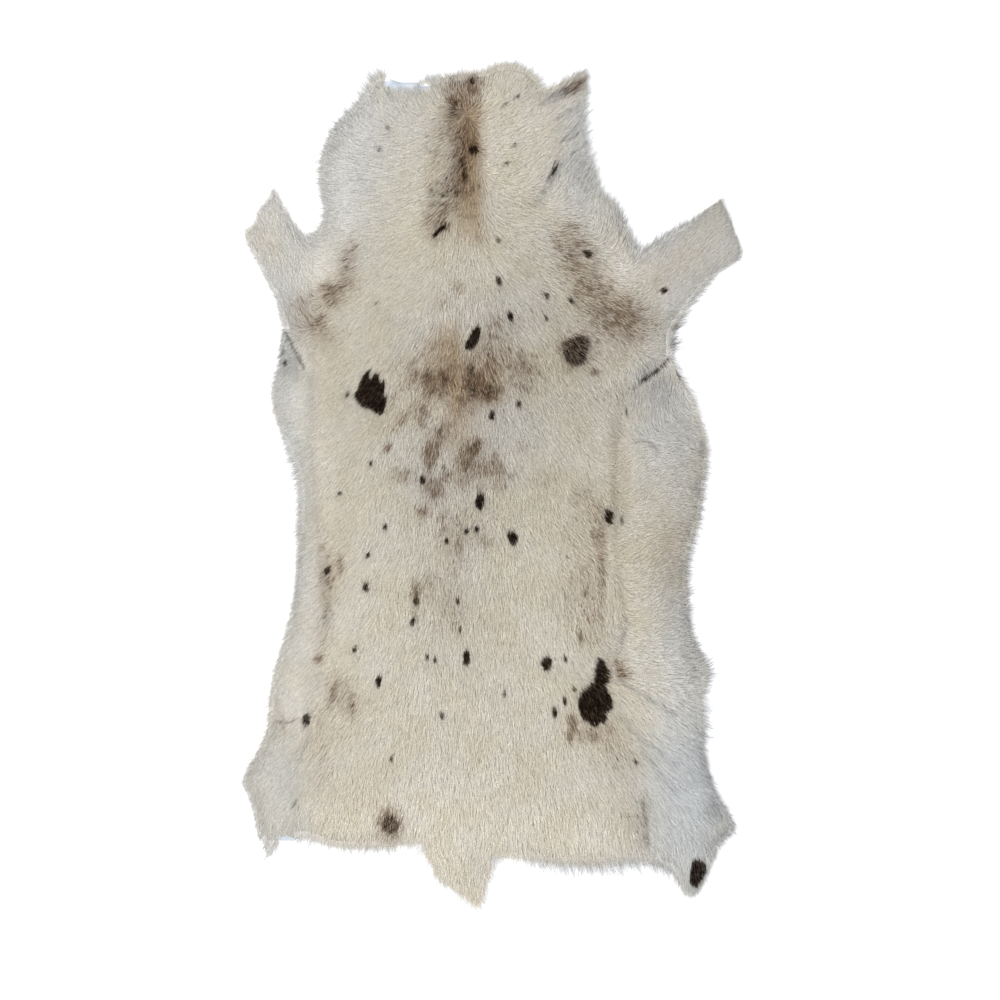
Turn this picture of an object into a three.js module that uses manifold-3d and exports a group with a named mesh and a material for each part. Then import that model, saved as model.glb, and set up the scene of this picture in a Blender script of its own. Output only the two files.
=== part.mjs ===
// A whole reindeer hide, dressed with its hair on and lying flat with the hair up.
// It is one piece: the trunk, both forelegs, the hind corners and the tail are a single skin.
// The solid reaches to the tips of the coat. Its underside is flat, and its top follows the coat,
// which is deep on the back, thin on the legs and pressed down where the skin is creased.
//
// Millimetres, +Z up, +Y towards the neck, +X to the right as the hair side is seen with the neck away.
// The tables measure along the spine from the root of the tail, and across from the spine.

import * as THREE from "three";
import { mergeVertices } from "three/addons/utils/BufferGeometryUtils.js";
import Module from "manifold-3d";

const wasm = await Module();
wasm.setup();

// ---------------------------------------------------------------- driving sizes
const COAT_DEPTH = 19; // the coat over the back, as the hair lies
const RIM_DEPTH = 4.5; // skin and hair at the cut edge
const RIM_WIDTH = 62; // the coat thins towards the edge over this width
const LIMB_COAT = 0.62; // short hair of the limbs, as a share of the coat over the back
const GRID = 18; // spacing of the coat surface's facets
const ROUNDING = 2; // steps on the curve between two rows of a table
const HIDE_COLOUR = 0xd6ccb9;

// Turns rows of plain numbers into records with named columns.
function table(columns, rows) {
  return rows.map((row) => Object.fromEntries(columns.map((name, i) => [name, row[i]])));
}

// Cuts across the trunk, from the haunches to the cheeks: reach of the skin on either side of the spine.
const SIDES = table(["along", "left", "right"], [
  [118, 333, 364],
  [150, 315, 358],
  [184, 302, 357],
  [222, 300, 353],
  [266, 292, 364],
  [318, 276, 340],
  [374, 264, 333],
  [435, 259, 331],
  [495, 256, 349],
  [555, 256, 357],
  [600, 268, 362],
  [635, 281, 354],
  [660, 291, 346],
  [686, 295, 336],
  [720, 287, 315],
  [750, 280, 309],
  [776, 278, 309],
  [825, 264, 294],
  [885, 252, 270],
  [915, 240, 249],
  [933, 224, 241],
  [952, 218, 231],
  [975, 219, 217],
  [990, 222, 200],
  [1020, 225, 193],
  [1050, 219, 180],
  [1077, 208, 176],
  [1096, 196, 171],
  [1117, 174, 177],
]);

// The front edge of the neck from cheek to cheek, with the lobe of the left cheek, the crown
// and the right ear.
const CROWN = table(["across", "along"], [
  [-156, 1140],
  [-148, 1157],
  [-137, 1167],
  [-129, 1172],
  [-122, 1162],
  [-106, 1152],
  [-76, 1150],
  [-60, 1156],
  [-27, 1164],
  [3, 1168],
  [21, 1171],
  [48, 1181],
  [75, 1181],
  [93, 1171],
  [106, 1161],
  [112, 1146],
  [123, 1145],
  [145, 1158],
  [179, 1175],
  [182, 1155],
  [181, 1133],
]);

// The rear edge from the left hind corner to the right one. The tail covers its middle.
const HEM = table(["across", "along"], [
  [-338, 98],
  [-328, 79],
  [-318, 45],
  [-312, 21],
  [-303, 9],
  [-299, -6],
  [-291, 6],
  [-279, 12],
  [-243, 15],
  [-207, 3],
  [-147, -1],
  [-102, 4],
  [-60, 8],
  [0, 0],
  [34, -12],
  [70, -15],
  [130, -24],
  [198, -26],
  [258, -21],
  [288, -26],
  [310, -38],
  [321, -57],
  [333, -72],
  [346, -62],
  [357, -45],
  [367, -22],
  [376, -3],
  [387, 15],
  [400, 23],
  [400, 39],
  [388, 62],
  [372, 88],
]);

// Each limb has an axis from a root inside the trunk. A row is a section: its distance out along
// the axis and its reach on either side. Slant turns the sections, as at a cut that isn't square.
const LIMBS = [
  {
    name: "left foreleg",
    root: { across: -252, along: 810 },
    heading: 12.5,
    slant: 0,
    sections: table(["out", "left", "right"], [
      [-30, 28, 60],
      [25, 30, 45],
      [41, 34, 40],
      [61, 39, 37],
      [82, 43, 34],
      [99, 50, 32],
      [115, 53, 25],
      [132, 54, 15],
      [138, 39, 13],
      [153, 31, 9],
      [162, 24, 6],
      [173, 11, 4],
      [186, 1, 1],
    ]),
  },
  {
    name: "right foreleg",
    root: { across: 280, along: 840 },
    heading: -49.7,
    slant: 0.37,
    sections: table(["out", "left", "right"], [
      [-25, 50, 74],
      [2, 57, 70],
      [17, 56, 62],
      [35, 54, 55],
      [52, 54, 49],
      [73, 50, 45],
      [91, 46, 43],
      [109, 45, 42],
      [128, 43, 44],
      [143, 42, 46],
      [153, 44, 42],
    ]),
  },
  {
    name: "tail",
    root: { across: 0, along: 0 },
    heading: 180,
    slant: 0,
    sections: table(["out", "left", "right"], [
      [-40, 34, 60],
      [0, 34, 69],
      [12, 34, 64],
      [27, 35, 54],
      [45, 33, 46],
      [54, 28, 34],
      [64, 24, 18],
      [75, 21, 3],
      [88, 16, -13],
    ]),
  },
];

// Depth of the coat along the spine, as a share of COAT_DEPTH.
const COAT_ALONG = table(["along", "share"], [
  [-90, 0.45],
  [-20, 0.75],
  [90, 0.95],
  [500, 1.0],
  [760, 0.9],
  [960, 1.0],
  [1130, 0.95],
  [1190, 0.7],
]);

// Soft troughs and ridges where the skin is creased or turned: how wide, how far the top is lifted,
// and the course as pairs of across and along.
const CREASES = table(["name", "width", "lift", "course"], [
  ["right foreleg fold", 17, -7, [[302, 738], [272, 714], [243, 691]]],
  ["right foreleg roll", 20, 3, [[282, 752], [248, 728], [222, 706]]],
  ["left foreleg fold", 17, -6, [[-280, 772], [-262, 748], [-244, 721]]],
  ["left foreleg roll", 18, 2.5, [[-262, 790], [-240, 768], [-222, 742]]],
  ["right belly line", 20, -4, [[222, 685], [231, 534], [238, 435], [235, 337], [223, 288]]],
  ["left belly line", 20, -3, [[-234, 705], [-236, 610], [-226, 470], [-213, 343], [-219, 264]]],
  ["right flank roll", 34, 3, [[290, 640], [300, 540], [292, 430], [296, 330]]],
  ["left flank roll", 28, 2, [[-262, 640], [-246, 540], [-246, 400], [-262, 280]]],
  ["right haunch crease", 18, -3, [[262, 75], [266, 30], [264, -12]]],
  ["left haunch crease", 18, -3, [[-219, 264], [-243, 158], [-255, 135], [-262, 96]]],
  ["neck parting", 24, -2.5, [[-6, 1120], [-2, 1030], [-8, 930], [-2, 840]]],
  ["right cheek crease", 16, -3, [[139, 1030], [123, 999], [100, 968]]],
]);

// ---------------------------------------------------------------- outlines
const point = (across, along) => new THREE.Vector3(across, along, 0);

// A closed outline through the given points, rounded between them.
function rounded(points) {
  const curve = new THREE.CatmullRomCurve3(points, true, "centripetal");
  return curve.getPoints(points.length * ROUNDING).slice(0, -1);
}

function trunkOutline() {
  const left = SIDES.map((row) => point(-row.left, row.along));
  const right = SIDES.map((row) => point(row.right, row.along));
  const crown = CROWN.map((row) => point(row.across, row.along));
  const hem = HEM.map((row) => point(row.across, row.along));
  return rounded([...hem, ...right, ...crown.reverse(), ...left.reverse()]);
}

function limbOutline({ root, heading, slant, sections }) {
  const turn = THREE.MathUtils.degToRad(heading);
  const onLimb = (out, side) =>
    point(side, out + slant * -side)
      .applyAxisAngle(new THREE.Vector3(0, 0, 1), turn)
      .add(point(root.across, root.along));
  const left = sections.map((row) => onLimb(row.out, -row.left));
  const right = sections.map((row) => onLimb(row.out, row.right));
  return rounded([...right, ...left.reverse()]);
}

const TRUNK = trunkOutline();
const OUTLINES = [TRUNK, ...LIMBS.map(limbOutline)];

// ---------------------------------------------------------------- the coat's top
const clamp01 = (t) => Math.min(1, Math.max(0, t));
const ease = (t) => clamp01(t) ** 2 * (3 - 2 * clamp01(t));

// Distance from a point to the segment between two others, in the plane.
function segmentDistance(p, a, b) {
  const run = b.clone().sub(a);
  const share = clamp01(p.clone().sub(a).dot(run) / run.lengthSq());
  return p.distanceTo(a.clone().addScaledVector(run, share));
}

function lineDistance(p, points) {
  const steps = points.slice(1).map((b, i) => segmentDistance(p, points[i], b));
  return Math.min(...steps);
}

// How far inside a closed outline a point lies: negative outside it.
function insideDistance(p, outline) {
  let inside = false;
  outline.forEach((a, i) => {
    const b = outline[(i + 1) % outline.length];
    const crosses = a.y > p.y !== b.y > p.y;
    if (crosses && p.x < a.x + ((p.y - a.y) / (b.y - a.y)) * (b.x - a.x)) inside = !inside;
  });
  const distance = lineDistance(p, [...outline, outline[0]]);
  return inside ? distance : -distance;
}

// Reads a column of a table at a place along the spine, eased between its rows.
function readAlong(rows, column, along) {
  const next = rows.findIndex((row) => row.along > along);
  if (next < 0) return rows.at(-1)[column];
  if (next === 0) return rows[0][column];
  const [low, high] = [rows[next - 1], rows[next]];
  const share = ease((along - low.along) / (high.along - low.along));
  return low[column] + share * (high[column] - low[column]);
}

function creaseLift(p) {
  return CREASES.reduce((sum, { width, lift, course }) => {
    const distance = lineDistance(p, course.map(([across, along]) => point(across, along)));
    return sum + lift * Math.exp(-((distance / width) ** 2));
  }, 0);
}

function coatTop(p) {
  const onTrunk = insideDistance(p, TRUNK);
  const inside = Math.max(onTrunk, ...OUTLINES.map((outline) => insideDistance(p, outline)));
  const limb = LIMB_COAT + (1 - LIMB_COAT) * ease(onTrunk / RIM_WIDTH);
  const full = COAT_DEPTH * readAlong(COAT_ALONG, "share", p.y) * limb;
  const swell = ease(inside / RIM_WIDTH + 0.12);
  const top = RIM_DEPTH + (full - RIM_DEPTH) * swell + creaseLift(p) * swell;
  return Math.max(RIM_DEPTH, top);
}

// ---------------------------------------------------------------- solids
// A closed three.js geometry as a solid that can be joined and cut.
function solid(geometry) {
  const bare = geometry.clone();
  bare.deleteAttribute("normal");
  bare.deleteAttribute("uv");
  const merged = mergeVertices(bare, 1e-3);
  return new wasm.Manifold(new wasm.Mesh({
    numProp: 3,
    vertProperties: merged.attributes.position.array,
    triVerts: new Uint32Array(merged.index.array),
  }));
}

function plate(outline) {
  const shape = new THREE.Shape(outline.map((p) => new THREE.Vector2(p.x, p.y)));
  const depth = COAT_DEPTH * 2;
  return solid(new THREE.ExtrudeGeometry(shape, { depth, bevelEnabled: false, curveSegments: 1 }));
}

// A block over the whole hide whose top is the coat's top. Its base lies below the underside.
function coatBlock(box) {
  const size = box.getSize(new THREE.Vector3());
  const centre = box.getCenter(new THREE.Vector3());
  const steps = (length) => Math.ceil(length / GRID) + 2;
  const wide = steps(size.x) * GRID;
  const long = steps(size.y) * GRID;
  const block = new THREE.BoxGeometry(wide, long, 2, steps(size.x), steps(size.y), 1);
  block.translate(centre.x, centre.y, 0);
  const places = block.attributes.position;
  for (let i = 0; i < places.count; i += 1) {
    const p = point(places.getX(i), places.getY(i));
    places.setZ(i, places.getZ(i) > 0 ? coatTop(p) : -COAT_DEPTH);
  }
  return solid(block);
}

function geometryOf(made) {
  const { vertProperties, triVerts } = made.getMesh();
  const geometry = new THREE.BufferGeometry();
  geometry.setAttribute("position", new THREE.BufferAttribute(new Float32Array(vertProperties), 3));
  geometry.setIndex(new THREE.BufferAttribute(new Uint32Array(triVerts), 1));
  return geometry;
}

const flat = OUTLINES.map(plate).reduce((all, next) => all.add(next));
const reach = new THREE.Box3().setFromPoints(OUTLINES.flat());
const hideGeometry = geometryOf(flat.intersect(coatBlock(reach)));

// The hide is centred over the origin, with its underside at zero.
const middle = reach.getCenter(new THREE.Vector3());
hideGeometry.translate(-middle.x, -middle.y, 0);
hideGeometry.computeVertexNormals();

const finish = new THREE.MeshStandardMaterial({ color: HIDE_COLOUR, roughness: 0.9, metalness: 0 });
const hide = new THREE.Mesh(hideGeometry, finish);
hide.name = "hide";

const reindeerHide = new THREE.Group();
reindeerHide.add(hide);

export default reindeerHide;
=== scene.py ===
"""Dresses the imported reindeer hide: a skin with its flesh side, and the coat laid on it hair by hair."""

import math

import bmesh
import bpy
import numpy as np
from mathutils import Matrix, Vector
from mathutils.bvhtree import BVHTree

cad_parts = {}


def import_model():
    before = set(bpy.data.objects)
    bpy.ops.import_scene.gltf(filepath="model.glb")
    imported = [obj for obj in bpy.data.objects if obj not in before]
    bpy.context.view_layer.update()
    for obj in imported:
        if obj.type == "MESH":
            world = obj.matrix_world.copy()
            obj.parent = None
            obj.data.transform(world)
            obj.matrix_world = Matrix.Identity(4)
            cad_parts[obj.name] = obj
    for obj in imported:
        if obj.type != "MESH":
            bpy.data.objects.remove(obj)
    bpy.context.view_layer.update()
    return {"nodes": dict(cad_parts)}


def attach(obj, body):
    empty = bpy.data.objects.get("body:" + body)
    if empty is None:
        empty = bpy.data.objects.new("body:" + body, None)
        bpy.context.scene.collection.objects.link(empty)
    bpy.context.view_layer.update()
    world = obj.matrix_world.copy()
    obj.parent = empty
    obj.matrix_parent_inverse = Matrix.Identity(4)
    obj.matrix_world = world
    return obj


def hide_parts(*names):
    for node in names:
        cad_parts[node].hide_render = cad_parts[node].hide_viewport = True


MM = 0.001
SEED = 431

# Places on the hide are measured across from the spine (right is positive) and along from the tail root
# (towards the neck), in millimetres. Headings are in degrees: 0 runs to the neck, 90 to the right flank.
SPINE_X = -0.0370
TAIL_ROOT_Y = -0.5474

# Plan maps, in millimetres: how far they reach to each side, the steps of the lie's map and the coat's.
MAP_REACH = (412.0, 672.0)
LIE_STEP = 4.0
COAT_STEP = 1.0

# The skin, in millimetres: size of its facets, how far it lies under the coat's top, its least height, and
# how far inside the hide's edge it ends under hair and where it is bare.
SKIN_STEP = 8.0
SKIN_BELOW_COAT = 5.0
SKIN_RIM = 1.6
SKIN_INSET = 6.0
SKIN_INSET_BARE = -2.0

# Hair, in millimetres: spacing of the roots, lengths, width, and spacing of the locks and tresses.
ROOT_SPACING = 1.68
EDGE_ROOT_SPACING = 1.25
SPOT_ROOT_SPACING = 1.1
LEAST_HAIR = 8.5
SPOT_HAIR = 7.5
EDGE_HAIR = (9, 38)
HAIR_WIDTH = 0.76
LOCK_SPACING = 2.7
TRESS_SPACING = 9.0
# The coat's hair is this share of the lie's hair length, and single hairs differ within this range.
COAT_SHARE = 0.55
LENGTH_RANGE = (0.7, 1.25)
# How far tips hang past the edge, as a share of the reach there, and the share that all are held back by.
OVERHANG = 0.5
HELD_BACK = 0.2
# Degrees by which a hair, its lock and its tress turn off the lie.
HAIR_TURN, LOCK_TURN, TRESS_TURN = 12, 6, 5
# How strongly hairs close in on the middle line of their lock and of their tress.
GATHER = (0.15, 0.12)
# How far a hair keeps its own heading, against the lie under it, as a share.
OWN_HEADING = 0.6
# Millimetres: how deep tips lie in the coat, how much locks and tresses rise, how deep roots are set, how
# far past the edge hair has drooped, and the least height of a hair inside the edge and past it.
TIP_SUNK = 2.6
LOCK_RISE = 0.9
ROOT_SUNK = 0.8
DROOP_REACH = 14
LEAST_HEIGHT, LEAST_HEIGHT_OVER = 0.3, 0.5
# A hair's width at shares of its length, and how fine it is by how far its tip is inside the edge.
TAPER = ((0, 0.45, 1), (0.8, 1.0, 0.25))
FINER_AT_EDGE = ((-10, -2, 6), (0.45, 0.7, 1.0))

# Random changes over the plan, each as shares and blotch sizes in millimetres: the lie's turns, the dark
# patches' ragged edges, and the mottle in brown hair.
LIE_WANDER = ((np.radians(9), 55), (np.radians(7), 22))
RAGGED_EDGES = ((0.6, 5), (0.4, 2.4))
MOTTLE = ((0.5, 16), (0.5, 6))
# Millimetres: half the width of a crisp edge, how ragged patches and spots are, and the margins round them.
CRISP_EDGE = 1.1
PATCH_RAGGED, SPOT_RAGGED, SPOT_RAGGED_SHARE = 1.6, 2.2, 0.45
PATCH_MARGIN, SPOT_MARGIN = 14, 12
# A soft shade has half its strength at its oval's edge, and falls off with this power.
HALF_FADE, FADE_POWER = 0.69, 2.6
# How near a guide has to be to rule alone, in millimetres, for the lie and for the edge.
LIE_SOFTNESS, EDGE_SOFTNESS = 12, 20

# The lie of the hair: across, along, heading, hair length in millimetres.
HAIR_LIE = [
    # crown, fanning out in front of the whorl
    (-42, 1147, -30, 20), (-6, 1147, 0, 20), (33, 1155, 20, 22), (70, 1162, 30, 22), (108, 1140, 45, 22),
    (153, 1147, 55, 26), (175, 1155, 55, 18), (-65, 1140, -40, 20), (-102, 1132, -30, 20),
    (-147, 1140, -35, 20), (-177, 1102, -45, 22), (-200, 1065, -60, 24), (-3, 1124, 0, 20),
    (-20, 1100, -115, 22), (14, 1102, 65, 22), (-4, 1086, -170, 24),
    # left side of the neck
    (-42, 1080, -122, 24), (-87, 1050, -110, 26), (-132, 1035, -95, 28), (-192, 1020, -80, 26),
    (-215, 990, -75, 24), (-20, 1035, -135, 26), (-35, 975, -140, 28), (-72, 975, -115, 28),
    (-125, 960, -100, 28), (-185, 952, -95, 26), (-3, 1005, 180, 26), (-3, 930, 180, 26),
    # right side of the neck
    (33, 1080, 60, 24), (78, 1080, 62, 24), (130, 1087, 55, 34), (175, 1087, 45, 42), (48, 1035, 75, 26),
    (108, 1027, 60, 28), (133, 1012, 27, 24), (190, 1005, 35, 40), (213, 945, 12, 36), (250, 915, 20, 24),
    (153, 930, 95, 26), (78, 960, 105, 26), (48, 915, 130, 26),
    # shoulders
    (-3, 825, 180, 22), (-102, 870, -125, 24), (-177, 870, -120, 22), (-207, 810, -130, 20),
    (-102, 780, -145, 22), (108, 870, 125, 24), (198, 870, 115, 20), (228, 795, 130, 18),
    (108, 780, 145, 22),
    # back
    (-102, 675, -155, 22), (-207, 675, -140, 20), (-3, 645, 180, 22), (108, 675, 155, 22),
    (198, 675, 150, 20), (-102, 525, -162, 22), (-207, 525, -145, 22), (108, 525, 162, 22),
    (198, 525, 150, 22), (-3, 510, 180, 22),
    # loin
    (-102, 345, -167, 24), (-200, 345, -150, 24), (-3, 375, 180, 24), (108, 345, 167, 24),
    (198, 375, 170, 24),
    # rump
    (-102, 165, -168, 26), (-207, 165, -155, 24), (-3, 165, 180, 28), (108, 165, 168, 26),
    (198, 165, 155, 26), (-192, 30, -170, 22), (-102, 30, -175, 32), (108, 15, 175, 34), (198, 15, 170, 36),
    # tail
    (-35, -15, 172, 38), (-3, -15, 180, 42), (25, -15, -175, 36), (-9, -45, 178, 36),
    # left flank and hind leg
    (-252, 757, -140, 14), (-252, 675, -120, 20), (-260, 570, -115, 22), (-245, 450, -118, 22),
    (-252, 345, -125, 22), (-275, 255, -130, 20), (-290, 165, -135, 18), (-297, 75, -150, 16),
    (-267, 30, -163, 16), (-309, 75, -140, 12),
    # right flank and hind leg
    (280, 682, 180, 22), (250, 555, 48, 16), (288, 570, 80, 22), (333, 630, 110, 22), (333, 570, 100, 22),
    (355, 555, 105, 18), (265, 442, 60, 22), (303, 472, 90, 22), (333, 457, 110, 22), (280, 375, 55, 20),
    (318, 345, 70, 22), (273, 277, 90, 28), (355, 267, 85, 28), (273, 210, 128, 38), (348, 180, 118, 34),
    (318, 90, 138, 38), (363, 45, 150, 16), (340, -30, 165, 18), (273, 45, 152, 34),
    # forelegs, down to the hoof end
    (-297, 952, -20, 8), (-275, 870, -20, 10), (-252, 810, -25, 11), (378, 937, 49, 8), (333, 885, 49, 10),
    (280, 840, 49, 12), (295, 795, 60, 12),
]

# Along the edge: across, along, how far hair hangs over it in millimetres, how strongly grey shade is painted
# there.
EDGE_GUIDES = [
    (-330, 940, 4, 0.3), (-300, 870, 6, 0.3), (-262, 810, 8, 0.3), (-275, 745, 9, 0.5), (-300, 650, 3, 0.3),
    (-262, 560, 13, 0.3), (-248, 405, 3, 0.3), (-290, 270, 7, 0.3), (-310, 190, 6, 0.3), (-330, 90, 4, 0.4),
    (-310, 30, 4, 0.4), (-275, 5, 22, 0.3), (-200, 0, 10, 0.3), (-132, -8, 16, 0.3), (-60, -20, 9, 0.1),
    (-3, -70, 11, 0.0), (48, -15, 6, 0.1), (130, -8, 17, 0.3), (230, -12, 25, 0.35), (290, -15, 18, 0.35),
    (340, -55, 6, 0.3), (400, 30, 5, 0.7), (358, 115, 2, 0.55), (352, 225, 13, 0.4), (352, 320, 3, 0.5),
    (350, 430, 7, 0.5), (350, 540, 5, 0.45), (350, 640, 4, 0.2), (330, 705, 14, 0.3), (315, 760, 18, 0.5),
    (345, 820, 13, 0.4), (390, 870, 4, 0.4), (400, 930, 1, 0.3), (375, 940, 3, 0.5), (310, 925, 9, 0.5),
    (255, 905, 10, 0.5), (235, 945, 8, 0.4), (205, 1000, 3, 0.3), (188, 1060, 13, 0.3), (180, 1110, 6, 0.3),
    (165, 1165, 8, 0.3), (110, 1145, 6, 0.2), (-3, 1165, 8, 0.2), (-70, 1150, 12, 0.4),
    (-132, 1170, 17, 0.3), (-190, 1090, 6, 0.35), (-222, 1000, 6, 0.25), (-235, 935, 5, 0.3),
]

# Where thin skin and short hair spread past the solid hide's edge, or stop short of it below zero:
# across, along, how far in millimetres, how wide a stretch.
EDGE_SPREADS = [
    (-314, 925, 5.0, 75), (-296, 850, 3.0, 40), (-276, 622, 5.0, 60), (-285, 765, 3.0, 25),
    (-327, 75, 3.0, 50), (-309, 5, 5.0, 45), (-72, 1148, 4.0, 28), (405, 888, 3.0, 40), (333, 847, 2.5, 45),
    (333, -52, 3.0, 30), (177, 1150, -3.0, 35), (408, 942, -3.0, 30), (355, 150, -2.5, 55),
]

# Large dark patches: strength, then the outline as (across, along).
DARK_PATCHES = [
    # left shoulder, feathered above
    (1.0, [(-153, 718), (-147, 721), (-149, 711), (-145, 706), (-140, 714), (-135, 714), (-134, 708),
           (-130, 702), (-126, 707), (-125, 699), (-125, 690), (-127, 681), (-122, 678), (-123, 666),
           (-126, 657), (-131, 652), (-136, 654), (-144, 660), (-156, 663), (-165, 670), (-169, 678),
           (-168, 687), (-164, 696), (-160, 705), (-157, 712)]),
    # right shoulder
    (0.66, [(168, 772), (181, 771), (183, 762), (181, 750), (178, 739), (174, 729), (166, 724), (156, 725),
           (148, 732), (145, 742), (141, 754), (147, 763), (157, 769)]),
    # withers
    (1.0, [(15, 785), (19, 780), (18, 771), (15, 763), (10, 754), (3, 750), (-3, 751), (-3, 760), (0, 765),
           (3, 771), (6, 779)]),
    # right haunch
    (1.0, [(198, 289), (204, 285), (208, 274), (212, 264), (211, 253), (207, 247), (210, 240), (214, 232),
           (218, 222), (216, 211), (208, 205), (208, 196), (204, 189), (198, 190), (193, 186), (184, 187),
           (178, 195), (171, 195), (167, 204), (165, 217), (165, 226), (169, 237), (177, 243), (184, 250),
           (189, 252), (190, 262), (192, 273), (194, 283)]),
    # left rump
    (0.6, [(-125, 49), (-115, 51), (-106, 45), (-103, 36), (-107, 26), (-117, 22), (-126, 26), (-130, 37)]),
    # right hind leg end
    (0.92, [(337, -19), (343, -17), (351, -19), (357, -24), (360, -30), (357, -37), (354, -45), (349, -52),
           (345, -59), (339, -58), (334, -54), (333, -46), (334, -37), (336, -28)]),
]

# Small dark spots and strokes: across, along, width, height, strength, and a tilt in degrees if any.
# The short strokes beside the right foreleg's fold, at the left armpit and along the right hind leg's crease
# are painted shadow.
DARK_SPOTS = [
    (212, 500, 12, 24, 1.0), (18, 523, 14, 24, 1.0, 5), (67, 468, 14, 21, 1.0, -10), (-2, 288, 11, 20, 1.0),
    (118, 280, 15, 20, 1.0), (130, 206, 8, 14, 1.0), (145, 222, 6, 11, 0.9), (-134, 252, 9, 14, 1.0),
    (-153, 395, 9, 14, 1.0), (-212, 419, 8, 15, 0.9, 10), (-69, 555, 9, 11, 1.0), (36, 652, 9, 14, 0.9),
    (64, 801, 9, 14, 1.0), (-43, 929, 8, 23, 1.0, 45), (180, 894, 13, 12, 0.9), (295, 840, 9, 10, 1.0),
    (-77, 375, 9, 14, 0.8), (-83, 343, 8, 11, 0.9), (-15, 373, 6, 9, 0.9), (8, 1050, 14, 17, 1.0),
    (6, 1155, 8, 9, 0.8), (-18, 1122, 8, 9, 0.8), (-170, 301, 6, 8, 0.8), (-61, 289, 5, 8, 0.8),
    (-49, 285, 6, 8, 0.8), (146, 286, 6, 9, 0.9), (160, 240, 6, 8, 0.8), (55, 234, 5, 8, 0.8),
    (-39, 202, 6, 8, 0.8), (-115, 136, 5, 7, 0.7), (-124, 484, 6, 8, 0.9), (-150, 442, 6, 8, 0.9),
    (-193, 535, 5, 7, 0.8), (-146, 580, 5, 7, 0.8), (-181, 682, 5, 7, 0.8), (155, 823, 6, 8, 0.9),
    (76, 669, 8, 11, 0.75), (118, 798, 5, 8, 0.8), (-37, 574, 5, 7, 0.8), (-32, 463, 6, 9, 0.9),
    (-2, 478, 6, 9, 0.9), (13, 481, 6, 9, 0.9), (-12, 330, 5, 8, 0.8), (75, 1131, 5, 7, 0.7),
    (57, 1119, 5, 7, 0.6), (70, 1057, 5, 7, 0.6), (58, 1030, 5, 7, 0.6), (-183, 873, 6, 9, 0.7),
    (-222, 798, 5, 7, 0.6), (-138, 820, 5, 8, 0.6), (-120, 1084, 5, 7, 0.5), (-133, 1050, 5, 7, 0.5),
    (231, 495, 4, 15, 0.6), (238, 657, 3, 12, 0.6), (-7, 1024, 9, 38, 0.45), (160, 1144, 3, 26, 0.45, 52),
    (168, 1152, 3, 22, 0.45, 50), (150, 1137, 3, 20, 0.5, 60), (162, 1139, 2, 18, 0.5, 54),
    (4, 716, 9, 40, 0.4, 5), (7, 690, 14, 26, 0.45), (34, 688, 36, 14, 0.3), (-36, 701, 12, 24, 0.3),
    (-60, 716, 6, 14, 0.35), (-28, 722, 7, 18, 0.25), (12, 605, 14, 8, 0.3), (-22, 1112, 10, 26, 0.35),
    (-12, 1024, 6, 40, 0.3), (314, 785, 6, 14, 0.5, 20), (313, 757, 7, 14, 0.5, 30), (45, 916, 6, 9, 0.7),
    (46, 853, 8, 12, 0.8), (118, 831, 7, 11, 0.8), (252, 132, 5, 7, 0.8), (-9, 1069, 4, 11, 0.45, 45),
    (-20, 1040, 5, 6, 0.4), (-12, 1034, 5, 7, 0.5, 20), (-6, 1020, 5, 8, 0.55), (-13, 1024, 4, 6, 0.45),
    (-5, 1008, 6, 9, 0.6, 10), (-33, 1006, 4, 8, 0.4, 30), (-46, 1000, 6, 4, 0.35), (-20, 995, 5, 5, 0.45),
    (-9, 990, 6, 5, 0.5), (16, 997, 6, 5, 0.4), (-34, 981, 16, 4, 0.5), (-17, 981, 6, 5, 0.5),
    (-55, 979, 5, 4, 0.4), (9, 968, 9, 3, 0.35), (-16, 965, 5, 5, 0.35), (129, 1018, 4, 24, 0.8, 26),
    (-243, 195, 11, 17, 0.8), (-279, 748, 3, 9, 0.7), (-276, 731, 4, 8, 0.8), (311, 764, 4, 12, 0.6, 20),
    (316, 714, 3, 16, 0.5, -25), (262, 66, 3, 16, 0.4, -12), (266, 42, 3, 20, 0.35, 5),
    (270, 14, 3, 18, 0.3), (-261, 68, 3, 14, 0.4, 30),
]

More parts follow.
